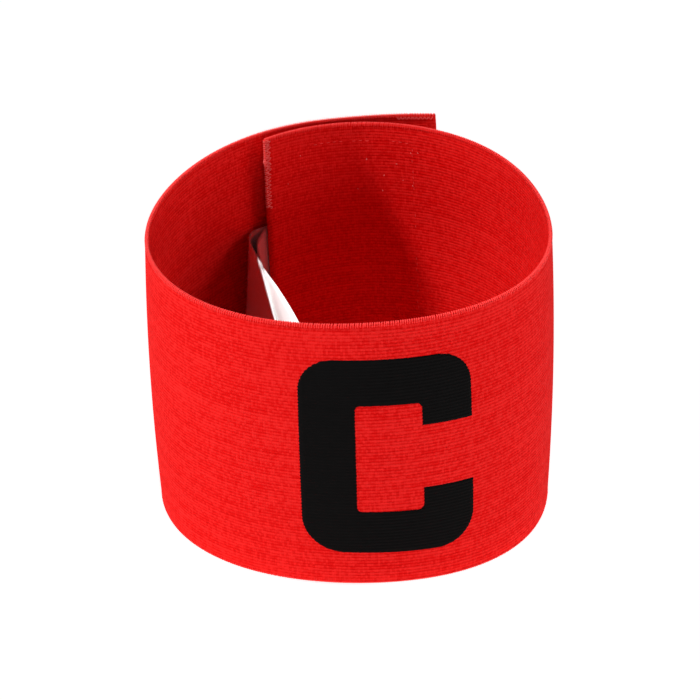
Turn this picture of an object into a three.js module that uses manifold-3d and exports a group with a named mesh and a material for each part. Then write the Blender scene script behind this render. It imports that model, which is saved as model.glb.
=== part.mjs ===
// Captain armband: an elastic strip closed into a loop, standing on its lower edge.
// Millimetres, +Z up. The lettered side faces -Y, and the lap that closes the loop is at +Y.
// Origin: centre of the bounding box, on the surface that the loop stands on.
import * as THREE from 'three';
import { mergeVertices } from 'three/addons/utils/BufferGeometryUtils.js';
import Module from 'manifold-3d';

// Elastic strip
const BAND_LENGTH = 350; // flat, from end to end
const BAND_WIDTH = 70; // height of the standing loop
const BAND_THICKNESS = 1.3;
const LAP_LENGTH = 42; // stretch where the two ends lie over each other
const LAP_CENTRE_ANGLE = 184; // degrees: 0 at the front, 90 at the right, 180 at the back
const FLARE_LENGTH = 19; // stretch of the outer end that springs away from the loop
const FLARE = 3.6; // how far its edge stands off
const CURL_LENGTH = 17; // stretch of the inner end that curls into the loop
const CURL = 0.5; // how far its edge stands in
const BELLY = 0.9; // how much the wall swells outward at mid-height
const LEAN = 2.6; // how far the foot of the loop stands to the right of its top

// Fastener, sewn flat between the two ends
const FASTENER_THICKNESS = 1;
const FASTENER_MARGIN = 5; // below the strip's top edge and above its foot
const FASTENER_TO_OUTER_END = 9;
const FASTENER_TO_LABEL = 3;

// Letter, a raised block C on the front
const LETTER_WIDTH = 41;
const LETTER_MARGIN = 9.4; // below the strip's top edge and above its foot
const LETTER_THICKNESS = 0.4;
const LETTER_STEM = 12.7;
const LETTER_BAR = 11.3;
const LETTER_TERMINAL_WIDTH = 12.4;
const LETTER_TERMINAL_HEIGHT = 17.2;
const LETTER_TOP_RADIUS = 6.6;
const LETTER_FOOT_RADIUS = 8.2;
const LETTER_STEM_RADIUS = 1.2; // where the stem meets the bars
const LETTER_TERMINAL_RADIUS = 2.2; // where the terminals meet the bars
const LETTER_SLANT = 0.028; // how far the letter leans to the right for each millimetre of height
const LETTER_CENTRE_ALONG = 6.6; // along the wall, to the right of the front's middle
const LETTER_BELOW_MIDDLE = 0.4;

// Blank label, a ribbon folded in half and sewn into the end of the strip
const LABEL_LENGTH = 58; // folded, from the seam to the fold
const LABEL_WIDTH = 29;
const LABEL_THICKNESS = 1;
const LABEL_TOP_BELOW_EDGE = 25.3;
const LABEL_SEAT_LENGTH = 4; // stretch of the label that is held inside the lap

const FIT_GAP = 0.3; // between neighbouring pieces
const FACET_LENGTH = 2.6; // along the strip
const LABEL_FACET_LENGTH = 1.4;
const ROW_HEIGHT = 8.75;
const CORNER_STEPS = 6; // facets in each round corner of the letter

// Plan of the loop: each row bulges outward a number of times around it. The depths are shares
// of the loop's mean radius, and the crests are the angles of one bulge, in degrees.
const LOOP_WAVES = [
  { bulges: 2, topDepth: 0.034, topCrest: -24, footDepth: 0.055, footCrest: -21 },
  { bulges: 3, topDepth: 0.029, topCrest: 57, footDepth: 0.044, footCrest: 48 },
  { bulges: 4, topDepth: 0.008, topCrest: -40, footDepth: 0.008, footCrest: -40 },
];

// Route of each ply of the label from the seam to the fold, as shares of the label's length:
// along is onward in the direction of the strip at its inner end, and inward is into the loop.
// Drop is how far the ply sinks below the seam, as a share of the label's width, and slant is
// how far the ply moves along for each millimetre downward.
const OUTER_PLY = [
  { along: 0.030, inward: 0.004, drop: 0.00, slant: 0.00 },
  { along: 0.064, inward: 0.017, drop: 0.00, slant: 0.01 },
  { along: 0.095, inward: 0.045, drop: 0.00, slant: 0.06 },
  { along: 0.124, inward: 0.103, drop: 0.00, slant: 0.12 },
  { along: 0.165, inward: 0.240, drop: 0.00, slant: 0.14 },
  { along: 0.240, inward: 0.462, drop: 0.00, slant: 0.10 },
  { along: 0.317, inward: 0.692, drop: 0.00, slant: 0.05 },
  { along: 0.350, inward: 0.869, drop: 0.02, slant: 0.01 },
  { along: 0.342, inward: 0.953, drop: 0.04, slant: 0.00 },
];
const INNER_PLY = [
  { along: 0.026, inward: 0.018, drop: 0.03, slant: 0.00 },
  { along: 0.050, inward: 0.035, drop: 0.05, slant: 0.00 },
  { along: 0.074, inward: 0.068, drop: 0.05, slant: 0.03 },
  { along: 0.098, inward: 0.117, drop: 0.05, slant: 0.09 },
  { along: 0.146, inward: 0.251, drop: 0.05, slant: 0.13 },
  { along: 0.170, inward: 0.454, drop: 0.05, slant: 0.15 },
  { along: 0.208, inward: 0.718, drop: 0.05, slant: 0.14 },
  { along: 0.288, inward: 0.902, drop: 0.05, slant: 0.04 },
  { along: 0.342, inward: 0.953, drop: 0.04, slant: 0.00 },
];

const wasm = await Module();
wasm.setup();

const LOOP_RADIUS = (BAND_LENGTH - LAP_LENGTH) / (2 * Math.PI);
const LAP_HALF_TURN = LAP_LENGTH / 2 / LOOP_RADIUS;
const INNER_END = THREE.MathUtils.degToRad(LAP_CENTRE_ANGLE) + LAP_HALF_TURN;
const OUTER_END = THREE.MathUtils.degToRad(LAP_CENTRE_ANGLE) - LAP_HALF_TURN - 2 * Math.PI;
const LETTER_HEIGHT = BAND_WIDTH - 2 * LETTER_MARGIN;
const LETTER_CENTRE_HEIGHT = BAND_WIDTH / 2 - LETTER_BELOW_MIDDLE;
const LAP_SPACING = BAND_THICKNESS + Math.max(FASTENER_THICKNESS, LABEL_THICKNESS) + 2 * FIT_GAP;

// Radius of the loop midway between the two layers of the lap.
function loopRadius(angle, height) {
  const low = 1 - height / BAND_WIDTH;
  let share = 1;
  for (const wave of LOOP_WAVES) {
    const topCrest = THREE.MathUtils.degToRad(wave.topCrest);
    const footCrest = THREE.MathUtils.degToRad(wave.footCrest);
    share += (1 - low) * wave.topDepth * Math.cos(wave.bulges * (angle - topCrest));
    share += low * wave.footDepth * Math.cos(wave.bulges * (angle - footCrest));
  }
  return LOOP_RADIUS * share - BELLY * (2 * low - 1) ** 2;
}

// Point beside the loop's wall, at an outward offset from the midst of the lap.
function loopPoint(angle, height, offset) {
  const radius = loopRadius(angle, height) + offset;
  const shift = LEAN * (1 - height / BAND_WIDTH);
  return new THREE.Vector3(radius * Math.sin(angle) + shift, -radius * Math.cos(angle), height);
}

// Outward offset of the strip itself: it winds inward from its outer end to its inner end.
function stripOffset(angle) {
  const windingStart = OUTER_END + 2 * LAP_HALF_TURN;
  const windingEnd = INNER_END - 2 * LAP_HALF_TURN;
  const wound = THREE.MathUtils.clamp((angle - windingStart) / (windingEnd - windingStart), 0, 1);
  const flaring = Math.max(0, 1 - ((angle - OUTER_END) * LOOP_RADIUS) / FLARE_LENGTH);
  const curling = Math.max(0, 1 - ((INNER_END - angle) * LOOP_RADIUS) / CURL_LENGTH);
  return LAP_SPACING * (0.5 - wound) + FLARE * flaring ** 2 - CURL * curling ** 2;
}

// Outward offset of a piece that lies on the strip's outer face.
function onStrip(angle, thickness) {
  return stripOffset(angle) + BAND_THICKNESS / 2 + FIT_GAP + thickness / 2;
}

// Closed solid between two faces. pointAt takes shares along and up the sheet, and which face.
function sheetGeometry(columns, rows, pointAt) {
  const positions = [];
  const indices = [];
  for (const face of [1, -1]) {
    for (let column = 0; column <= columns; column += 1) {
      for (let row = 0; row <= rows; row += 1) {
        positions.push(...pointAt(column / columns, row / rows, face).toArray());
      }
    }
  }
  const faceSize = (columns + 1) * (rows + 1);
  const vertex = (column, row, face) => (face > 0 ? 0 : faceSize) + column * (rows + 1) + row;
  const quad = (a, b, c, d) => indices.push(a, b, c, a, c, d);
  for (let column = 0; column < columns; column += 1) {
    for (let row = 0; row < rows; row += 1) {
      const corners = [[column, row], [column + 1, row], [column + 1, row + 1], [column, row + 1]];
      quad(...corners.map(([c, r]) => vertex(c, r, 1)));
      quad(...corners.reverse().map(([c, r]) => vertex(c, r, -1)));
    }
    const next = column + 1;
    quad(vertex(column, 0, 1), vertex(column, 0, -1), vertex(next, 0, -1), vertex(next, 0, 1));
    quad(vertex(next, rows, 1), vertex(next, rows, -1), vertex(column, rows, -1), vertex(column, rows, 1));
  }
  for (let row = 0; row < rows; row += 1) {
    const next = row + 1;
    const last = columns;
    quad(vertex(0, next, 1), vertex(0, next, -1), vertex(0, row, -1), vertex(0, row, 1));
    quad(vertex(last, row, 1), vertex(last, row, -1), vertex(last, next, -1), vertex(last, next, 1));
  }
  const geometry = new THREE.BufferGeometry();
  geometry.setAttribute('position', new THREE.Float32BufferAttribute(positions, 3));
  geometry.setIndex(indices);
  return geometry;
}

// Piece of wall that follows the loop between two angles and two heights.
function wallGeometry(from, to, foot, top, offsetAt, thickness) {
  const columns = Math.max(2, Math.round(((to - from) * LOOP_RADIUS) / FACET_LENGTH));
  const rows = Math.max(1, Math.round((top - foot) / ROW_HEIGHT));
  return sheetGeometry(columns, rows, (along, up, face) => {
    const angle = THREE.MathUtils.lerp(from, to, along);
    const height = THREE.MathUtils.lerp(foot, top, up);
    return loopPoint(angle, height, offsetAt(angle) + (face * thickness) / 2);
  });
}

function toSolid(geometry) {
  const bare = geometry.clone();
  bare.deleteAttribute('normal');
  bare.deleteAttribute('uv');
  const merged = mergeVertices(bare);
  return new wasm.Manifold(new wasm.Mesh({
    numProp: 3,
    vertProperties: Float32Array.from(merged.attributes.position.array),
    triVerts: Uint32Array.from(merged.index.array),
  }));
}

function toGeometry(solid) {
  const mesh = solid.getMesh();
  const geometry = new THREE.BufferGeometry();
  geometry.setAttribute('position', new THREE.BufferAttribute(mesh.vertProperties, 3));
  geometry.setIndex(new THREE.BufferAttribute(mesh.triVerts, 1));
  return geometry;
}

function makeMesh(name, geometry, color, roughness) {
  geometry.computeVertexNormals();
  const mesh = new THREE.Mesh(geometry, new THREE.MeshStandardMaterial({ color, roughness, metalness: 0 }));
  mesh.name = name;
  return mesh;
}

function bandGeometry() {
  return wallGeometry(OUTER_END, INNER_END, 0, BAND_WIDTH, stripOffset, BAND_THICKNESS);
}

// The fastener lies on the outer face of the inner layer.
function fastenerGeometry() {
  const from = OUTER_END + 2 * Math.PI + FASTENER_TO_OUTER_END / LOOP_RADIUS;
  const to = INNER_END - (LABEL_SEAT_LENGTH + FASTENER_TO_LABEL) / LOOP_RADIUS;
  const top = BAND_WIDTH - FASTENER_MARGIN;
  const offsetAt = (angle) => onStrip(angle, FASTENER_THICKNESS);
  return wallGeometry(from, to, FASTENER_MARGIN, top, offsetAt, FASTENER_THICKNESS);
}

// Outline of the block C, flat, about its own centre.
function letterShape() {
  const right = LETTER_WIDTH / 2;
  const top = LETTER_HEIGHT / 2;
  const stemRight = LETTER_STEM - right;
  const terminalLeft = right - LETTER_TERMINAL_WIDTH;
  const barFoot = top - LETTER_BAR;
  const terminalFoot = top - LETTER_TERMINAL_HEIGHT;
  const quarter = Math.PI / 2;
  const shape = new THREE.Shape();
  const corner = (x, y, radius, start, turn) => {
    shape.absarc(x, y, radius, start * quarter, (start + turn) * quarter, turn < 0);
  };
  const head = LETTER_TOP_RADIUS;
  const foot = LETTER_FOOT_RADIUS;
  const tight = LETTER_STEM_RADIUS;
  const soft = LETTER_TERMINAL_RADIUS;
  shape.moveTo(right, terminalFoot);
  shape.lineTo(right, top - head);
  corner(right - head, top - head, head, 0, 1);
  corner(head - right, top - head, head, 1, 1);
  corner(foot - right, foot - top, foot, 2, 1);
  corner(right - foot, foot - top, foot, 3, 1);
  shape.lineTo(right, -terminalFoot);
  shape.lineTo(terminalLeft, -terminalFoot);
  corner(terminalLeft - soft, soft - barFoot, soft, 0, -1);
  corner(stemRight + tight, tight - barFoot, tight, 3, -1);
  corner(stemRight + tight, barFoot - tight, tight, 2, -1);
  corner(terminalLeft - soft, barFoot - soft, soft, 1, -1);
  shape.lineTo(terminalLeft, terminalFoot);
  shape.closePath();
  return shape;
}

// The letter is a thin skin that follows the wall, cut to the outline from the front.
function letterGeometry() {
  const margin = LETTER_THICKNESS;
  const middle = LETTER_CENTRE_ALONG / LOOP_RADIUS;
  const halfTurn = (LETTER_WIDTH / 2 + LETTER_SLANT * LETTER_HEIGHT + margin) / LOOP_RADIUS;
  const foot = LETTER_CENTRE_HEIGHT - LETTER_HEIGHT / 2 - margin;
  const top = LETTER_CENTRE_HEIGHT + LETTER_HEIGHT / 2 + margin;
  const offsetAt = (angle) => onStrip(angle, LETTER_THICKNESS);
  const skin = wallGeometry(middle - halfTurn, middle + halfTurn, foot, top, offsetAt, LETTER_THICKNESS);
  const outline = letterShape().getPoints(CORNER_STEPS).map((point) => {
    const height = LETTER_CENTRE_HEIGHT + point.y;
    const angle = middle + (point.x + LETTER_SLANT * point.y) / LOOP_RADIUS;
    return new THREE.Vector2(loopPoint(angle, height, offsetAt(angle)).x, height);
  });
  const cutter = new THREE.ExtrudeGeometry(new THREE.Shape(outline), {
    depth: 2 * LOOP_RADIUS,
    bevelEnabled: false,
  });
  cutter.rotateX(Math.PI / 2);
  return toGeometry(toSolid(skin).intersect(toSolid(cutter)));
}

// One ply of the label: held inside the lap, then along its table's route to the fold.
function labelPlyGeometry(route) {
  const columns = Math.round(LABEL_LENGTH / LABEL_FACET_LENGTH);
  const rows = Math.round(LABEL_WIDTH / ROW_HEIGHT);
  const onward = new THREE.Vector3(Math.cos(INNER_END), Math.sin(INNER_END), 0);
  const inward = new THREE.Vector3(-Math.sin(INNER_END), Math.cos(INNER_END), 0);
  const lines = Array.from({ length: rows + 1 }, (_, row) => {
    const below = (1 - row / rows) * LABEL_WIDTH;
    const height = BAND_WIDTH - LABEL_TOP_BELOW_EDGE - below;
    const seatPoint = (angle) => loopPoint(angle, height, onStrip(angle, LABEL_THICKNESS));
    const seam = seatPoint(INNER_END);
    const routePoint = (step) => seam.clone()
      .addScaledVector(onward, step.along * LABEL_LENGTH + step.slant * below)
      .addScaledVector(inward, step.inward * LABEL_LENGTH)
      .setZ(height - step.drop * LABEL_WIDTH);
    return new THREE.CatmullRomCurve3([
      seatPoint(INNER_END - LABEL_SEAT_LENGTH / LOOP_RADIUS),
      seam,
      ...route.map(routePoint),
    ], false, 'centripetal');
  });
  return sheetGeometry(columns, rows, (along, up, face) => {
    const line = lines[Math.round(up * rows)];
    const tangent = line.getTangent(along);
    const outward = new THREE.Vector3(tangent.y, -tangent.x, 0).normalize();
    return line.getPoint(along).addScaledVector(outward, (face * LABEL_THICKNESS) / 2);
  });
}

// The plies are pressed into one in the lap, and meet again at the fold.
function labelGeometry() {
  const [outer, inner] = [OUTER_PLY, INNER_PLY].map((route) => toSolid(labelPlyGeometry(route)));
  return toGeometry(outer.add(inner));
}

const armband = new THREE.Group();
armband.add(
  makeMesh('band', bandGeometry(), 0xdc1614, 0.85),
  makeMesh('fastener', fastenerGeometry(), 0xb01010, 0.95),
  makeMesh('letter_c', letterGeometry(), 0x141212, 0.6),
  makeMesh('label', labelGeometry(), 0xf4f2f0, 0.45),
);

const bounds = new THREE.Box3().setFromObject(armband);
const centre = bounds.getCenter(new THREE.Vector3());
armband.position.set(-centre.x, -centre.y, -bounds.min.z);

const part = new THREE.Group();
part.add(armband);

export default part;
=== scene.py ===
# Captain armband: elastic strip closed into a standing loop, with its print, label and stitches.
# Metres, +Z up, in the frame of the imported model. The printed side faces -Y.
import math

import bpy
import numpy as np
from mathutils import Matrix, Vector
from mathutils.geometry import delaunay_2d_cdt


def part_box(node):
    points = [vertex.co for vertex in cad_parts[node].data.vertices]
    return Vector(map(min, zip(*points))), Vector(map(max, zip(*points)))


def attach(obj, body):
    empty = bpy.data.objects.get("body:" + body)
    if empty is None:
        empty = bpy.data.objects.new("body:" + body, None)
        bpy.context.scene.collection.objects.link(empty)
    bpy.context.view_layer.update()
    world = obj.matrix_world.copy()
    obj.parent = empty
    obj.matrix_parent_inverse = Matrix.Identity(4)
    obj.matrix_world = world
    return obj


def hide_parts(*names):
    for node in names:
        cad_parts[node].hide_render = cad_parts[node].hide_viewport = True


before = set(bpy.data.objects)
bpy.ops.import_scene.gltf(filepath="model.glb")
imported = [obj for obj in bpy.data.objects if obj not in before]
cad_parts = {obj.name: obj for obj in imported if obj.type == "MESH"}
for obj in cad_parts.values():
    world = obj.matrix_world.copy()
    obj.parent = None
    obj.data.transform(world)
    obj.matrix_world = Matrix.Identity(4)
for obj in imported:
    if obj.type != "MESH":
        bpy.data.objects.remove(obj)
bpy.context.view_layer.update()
random = np.random.default_rng(seed=11)

# Elastic strip, as in the part's source
BAND_LENGTH = 0.350
BAND_WIDTH = 0.070
BAND_THICKNESS = 0.0013
LAP_LENGTH = 0.042
LAP_CENTRE_ANGLE = 184
FLARE_LENGTH = 0.019
FLARE = 0.0036
CURL_LENGTH = 0.017
CURL = 0.0005
BELLY = 0.0009
LEAN = 0.0026
FIT_GAP = 0.0003
FACET_LENGTH = 0.0026
ROW_HEIGHT = 0.00875

# Plan of the loop: each row bulges outward a number of times around it. The depths are shares
# of the loop's mean radius, and the crests are the angles of one bulge, in degrees.
LOOP_WAVES = [
    {"bulges": 2, "top_depth": 0.034, "top_crest": -24, "foot_depth": 0.055, "foot_crest": -21},
    {"bulges": 3, "top_depth": 0.029, "top_crest": 57, "foot_depth": 0.044, "foot_crest": 48},
    {"bulges": 4, "top_depth": 0.008, "top_crest": -40, "foot_depth": 0.008, "foot_crest": -40},
]

# Fastener
FASTENER_THICKNESS = 0.001
FASTENER_MARGIN = 0.005
FASTENER_TO_OUTER_END = 0.009
FASTENER_TO_LABEL = 0.003

# Letter
LETTER_WIDTH = 0.0405
LETTER_HEIGHT = 0.0518
LETTER_STEM = 0.0127
LETTER_TOP_BAR = 0.0119
LETTER_FOOT_BAR = 0.0113
LETTER_TERMINAL_WIDTH = 0.0122
LETTER_TOP_TERMINAL = 0.0178
LETTER_FOOT_TERMINAL = 0.0172
LETTER_TOP_LEFT_RADIUS = 0.0083
LETTER_TOP_RIGHT_RADIUS = 0.0084
LETTER_FOOT_LEFT_RADIUS = 0.0092
LETTER_FOOT_RIGHT_RADIUS = 0.0090
LETTER_STEM_RADIUS = 0.0012
LETTER_TERMINAL_RADIUS = 0.0015
LETTER_SLANT = 0.013
LETTER_TILT = 0.026
LETTER_CENTRE_ALONG = 0.0067
LETTER_BELOW_MIDDLE = 0.0001

# Label
LABEL_LENGTH = 0.058
LABEL_WIDTH = 0.029
LABEL_THICKNESS = 0.001
LABEL_TOP_BELOW_EDGE = 0.0253
LABEL_SEAT_LENGTH = 0.004

# Route of each ply of the label, in shares of its length and width. The outer ply hangs lower
# than the inner one, which leans over on to it.
OUTER_PLY = [
    {"along": 0.030, "inward": -0.002, "drop": 0.00, "slant": 0.00},
    {"along": 0.063, "inward": 0.006, "drop": 0.00, "slant": 0.01},
    {"along": 0.094, "inward": 0.034, "drop": 0.00, "slant": 0.06},
    {"along": 0.121, "inward": 0.093, "drop": 0.00, "slant": 0.12},
    {"along": 0.150, "inward": 0.232, "drop": 0.03, "slant": 0.14},
    {"along": 0.216, "inward": 0.440, "drop": 0.09, "slant": 0.10},
    {"along": 0.288, "inward": 0.665, "drop": 0.13, "slant": 0.05},
    {"along": 0.326, "inward": 0.862, "drop": 0.12, "slant": 0.01},
    {"along": 0.340, "inward": 0.950, "drop": 0.08, "slant": 0.00},
]
INNER_PLY = [
    {"along": 0.026, "inward": 0.018, "drop": 0.03, "slant": 0.00},
    {"along": 0.050, "inward": 0.035, "drop": 0.05, "slant": 0.00},
    {"along": 0.074, "inward": 0.068, "drop": 0.05, "slant": 0.03},
    {"along": 0.098, "inward": 0.117, "drop": 0.05, "slant": 0.09},
    {"along": 0.146, "inward": 0.251, "drop": 0.05, "slant": 0.13},
    {"along": 0.174, "inward": 0.454, "drop": 0.05, "slant": 0.15},
    {"along": 0.224, "inward": 0.718, "drop": 0.05, "slant": 0.14},
    {"along": 0.276, "inward": 0.902, "drop": 0.05, "slant": 0.04},
    {"along": 0.336, "inward": 0.952, "drop": 0.04, "slant": 0.00},
]
LABEL_FOLD = {"along": 0.342, "inward": 0.962, "drop": 0.05, "slant": 0.00}
LABEL_LEAN_FIRST = 0.15
LABEL_LEAN_LAST = 0.93
LABEL_LEAN_ANGLE = 24
LABEL_LEAN_ROUNDING = 0.0012
LABEL_PLY_CLEARANCE = 0.00034

LOOP_RADIUS = (BAND_LENGTH - LAP_LENGTH) / (2 * math.pi)
LAP_HALF_TURN = LAP_LENGTH / 2 / LOOP_RADIUS
INNER_END = math.radians(LAP_CENTRE_ANGLE) + LAP_HALF_TURN
OUTER_END = math.radians(LAP_CENTRE_ANGLE) - LAP_HALF_TURN - 2 * math.pi
LAP_SPACING = BAND_THICKNESS + max(FASTENER_THICKNESS, LABEL_THICKNESS) + 2 * FIT_GAP

# Cloth, whose middle lies a little outside that of the plain wall and whose outer end springs
# away further
CLOTH_THICKNESS = 0.00080
CLOTH_OUT = 0.00017
CLOTH_INSET = 0.00016
CLOTH_FLARE_LENGTH = 0.024
CLOTH_FLARE = 0.0049
RIB_COUNT = 82
ROWS_PER_RIB = 4
RIB_RELIEF = 0.00008
BAND_COLUMNS = 140
RIM_STEPS = 6
RIM_ROWS = 2
RIB_PITCH = BAND_WIDTH / RIB_COUNT
TICK_PITCH = 0.00055
GROOVE_BELOW_EDGE = 0.00125
GROOVE_DEPTH = 0.00012
GROOVE_SPREAD = 0.0002

# Turn of a thread round an edge
ROUND_EDGE = np.linspace(0, math.pi, 7)

# Edge loops: the scatter and the lean along the strip are shares of the tick pitch
RIM_THREAD = 0.0002
FACE_THREAD = 0.0001
RIM_THREAD_SUNK = 0.35
FACE_THREAD_SUNK = 0.5
FACE_THREAD_PROUD = 0.2
LOOP_OUTER_REACH = 0.00088
LOOP_INNER_REACH = 0.0009
LOOP_REACH_SCATTER = 0.00008
LOOP_SCATTER = 0.07
LOOP_LEAN = 0.5

# Tubes of thread, which end in a narrower tip, as a share of their thickness
THREAD_SIDES = 5
THREAD_TIP = 0.55
ZIGZAG_STEPS = 4
SHORTEST_LENGTH = 1e-12

# Direction on the strip that no thread follows, from which each tube takes its turn
ASIDE_ALONG = 0.0005
ASIDE_UP = 0.0002

# Sewing thread, of which a share stands out of the cloth
SEWING_THREAD = 0.00009
SEWING_STANDS_OUT = 0.35

# Overlocking of the inner end, as two zigzags and the turns round the end
OVERLOCK_BELOW_TOP = 0.0002
OVERLOCK_LENGTH = 0.0192
OVERLOCK_STITCH = 0.00052
OVERLOCK_ZIGZAGS = [
    {"length": OVERLOCK_LENGTH, "stitch": OVERLOCK_STITCH, "edge": 0.0001, "width": 0.0015,
     "bow": 0.7, "scatter": 0.00006},
    {"length": OVERLOCK_LENGTH - 0.009, "stitch": OVERLOCK_STITCH * 1.45, "edge": 0.0004,
     "width": 0.001725, "bow": 0.4, "scatter": 0.00008},
]
OVERLOCK_TURN_START = 0.0011
OVERLOCK_TURN_EDGE = 0.0001
OVERLOCK_TURN_END = 0.0009
OVERLOCK_TURN_SLACK = 0.00018
OVERLOCK_TURN_SCATTER = 0.00005
OVERLOCK_TURN_TILT = 0.4
OVERLOCK_TURN_LIFT = 0.4

# Knot of the overlocking, the loose tail below it and the stop at its foot
KNOT_BELOW_TOP = 0.0062
KNOT_TURNS = 1.7
KNOT_PAST_END = 0.00035
KNOT_WIDTH = 0.00038
KNOT_HEIGHT = 0.0005
KNOT_RISE = 0.0003
KNOT_CLEARANCE = 0.0001
KNOT_DEPTH = 0.0002
KNOT_THREAD = SEWING_THREAD * 1.1
KNOT_POINTS = 30
TAIL_LENGTH = 0.0016
TAIL_START = 0.0004
TAIL_FALL = 0.0008
TAIL_BOW = 0.0003
TAIL_CLEARANCE = 0.00015
TAIL_POINTS = 12
STOP_FROM_END = 0.0012
STOP_WIDTH = 0.00022
STOP_HEIGHT = 0.00026
STOP_THREAD = SEWING_THREAD * 1.3
STOP_POINTS = 14

# Hem of the outer end, as a zigzag on its inner face and rows of short stitches
HEM_START = 0.0004
HEM_LENGTH = 0.0079
HEM_TOP = 0.0007
HEM_FOOT = 0.0014
HEM_STITCH = 0.00042
HEM_BOW = 0.8
HEM_ROW_START = 0.0008
HEM_ROW_PITCH = 0.0009
HEM_ROW_STITCH = 0.00055
HEM_ROW_BOW = 0.00015
HEM_ROW_BELOW_TOP = 0.0042
HEM_UPPER_ROW_BELOW_TOP = 0.0018
HEM_ROW_THREAD = SEWING_THREAD * 0.9
HEM_ROW_POINTS = 4

# Seams of the fastener
PATCH_SEAM_TOP = 0.005
PATCH_SEAM_FIRST = 0.0125
PATCH_SEAM_LAST = 0.0385
PATCH_STITCH = 0.0016
PATCH_STITCH_GAP = 0.0008
PATCH_STITCH_SHARE = 0.7
PATCH_STITCH_HUMP = 0.9
PATCH_STITCH_SUNK = 0.35
PATCH_STITCH_SCATTER = 0.00009
PATCH_THREAD = SEWING_THREAD * 0.8
PATCH_STITCH_POINTS = 5

# Loose fibre ends, in ranges below the top edge and back from the inner end
FLECK_COUNT = 12
FLECK_FROM_END = (0.006, 0.046)
FLECK_BELOW_EDGE = (0.0025, 0.020)
FLECK_LENGTH = (0.0002, 0.0005)
FLECK_THREAD = 0.00008
FLECK_CLEARANCE = 0.00004
FLECK_BOW = 0.0001
FLECK_POINTS = 4

# Print
PRINT_THICKNESS = 0.00007
PRINT_COLUMN = 0.0011
PRINT_JAG = 0.00007
PRINT_JAG_SCATTER = 0.35
PRINT_EDGE_CLEARANCE = 0.6
PRINT_FOLLOWS_RIBS = 0.8
PRINT_CORNER_STEP = 0.0006
PRINT_CORNER_STEPS = 4
PRINT_OUTLINE_PARTS = 8
PRINT_WELD = 1e-7
INSIDE_ONLY = 1

# Pile of the fastener
PILE_COLUMNS = 60
PILE_ROWS = 120
PILE_BASE_CLEARANCE = 0.00002
PILE_TOP_CLEARANCE = 0.00006
PILE_SCATTER = 0.00025

# Label ribbon
RIBBON_THICKNESS = 0.00028
RIBBON_COLUMNS = 150
RIBBON_ROWS = 24
RIBBON_WARP = 0.00028
RIBBON_WEFT = 0.00034
SPLINE_STEPS = 12

# Wander of the weave as shares of its pitches, the draw of its streaks along the strip, and the
# number that sets the courses' tones apart from those of the stitches
WANDER_ALONG = 2.4
WANDER_UP = 0.25
STREAK_DRAW = 0.14
COURSE_DRAW = 7.0

# Elastic: the share of each pattern of the weave in its tone and in its relief, and the colours
# from the darkest tone to the brightest. In the tone, the shares of the ribs and the ticks are
# painted shade in the grooves and painted highlight on the crests; the other shares are random
# tone.
ELASTIC_TONE_START = 0.12
ELASTIC_TONE_AND_PAINTED_SHADE = {"ribs": 0.24, "ticks": 0.07, "stitch": 0.28, "course": 0.13, "stretched": 0.14,
                "cloud": 0.10, "grain": 0.48}
ELASTIC_RELIEF = {"crossings": 0.40, "ribs": 0.25, "stitch": 0.25, "stretched": 0.25,
                  "grain": 0.50}
ELASTIC_DARK = {"tone": 0.35, "colour": (0.64, 0.0008, 0.0008, 1)}
ELASTIC_MIDDLE = {"tone": 0.68, "colour": (0.75, 0.0022, 0.0020, 1)}
ELASTIC_BRIGHT = {"tone": 1.0, "colour": (0.91, 0.019, 0.017, 1)}

# Threads and pile: colour, roughness and specular share. The edge thread's light pink colour is
# painted highlight on the rim's crest. The lighter colours of the sewing, patch and fibre threads
# are partly their own lighter yarn and partly painted highlight.
THREADS = {
    "thread_edge_highlight": ((0.92, 0.034, 0.031), 0.55, 0.3),
    "thread_sewing": ((0.96, 0.110, 0.105), 0.55, 0.25),
    "thread_patch": ((0.88, 0.040, 0.037), 0.5, 0.4),
    "thread_fibre": ((0.93, 0.22, 0.21), 0.5, 0.5),
    "pile_red": ((0.45, 0.006, 0.006), 1.0, 0.05),
}
THREAD_LIGHT = 1.12
THREAD_DARK = 0.82

# Colours of the print, the label and the floor, from dark to light
INK_DARK = (0.0014, 0.0013, 0.0013, 1)
INK_LIGHT = (0.0050, 0.0042, 0.0042, 1)
RIBBON_DARK = (0.86, 0.85, 0.84, 1)
RIBBON_LIGHT = (0.93, 0.925, 0.92, 1)
FLOOR_DARK = (0.93, 0.93, 0.93, 1)
FLOOR_LIGHT = (0.95, 0.95, 0.95, 1)
WHITE = (1, 1, 1, 1)

# Camera, round the photographed object
CAMERA_ELEVATION = 31.2
CAMERA_DISTANCE = 0.9
CAMERA_FOCUS = Vector((-0.000297, 0.0, 0.032809))
CAMERA_FOCAL_PIXELS = 3746
PICTURE_SIZE = 700
SENSOR_WIDTH = 36
CAMERA_NEAREST = 0.05
CAMERA_FURTHEST = 20

# Lights of the cloth, the label and the threads, each with its name, azimuth, elevation, size
# and share of full white
LIGHT_DISTANCE = 1.5
WORLD_LIGHT = 0.02
STUDIO_LIGHTS = [
    ("key", -81, 48, 0.14, 0.70),
    ("front", 12, 8, 0.5, 0.21),
    ("right", 80, 29, 0.8, 0.17),
    ("right_back", 125, 25, 0.45, 0.12),
]
LABEL_LIGHTS = [
    ("label_key", 180, 57, 0.08, 1.3),
    ("label_fill", 125, 27, 0.45, 0.16),
]
TRIM_LIGHTS = [
    ("trim_back", 180, 62, 0.4, 0.42),
    ("trim_front", 0, 22, 0.6, 0.22),
]

# Floor, which glows except within an ellipse under the band
FLOOR_SIZE = 6.0
FLOOR_GLOW = 1.0
FLOOR_SHADE = 0.05
FLOOR_SHADE_RADIUS = 0.0475
FLOOR_GLOW_RADIUS = 0.0520
FLOOR_SHADE_STRETCH = 1.09


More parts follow.
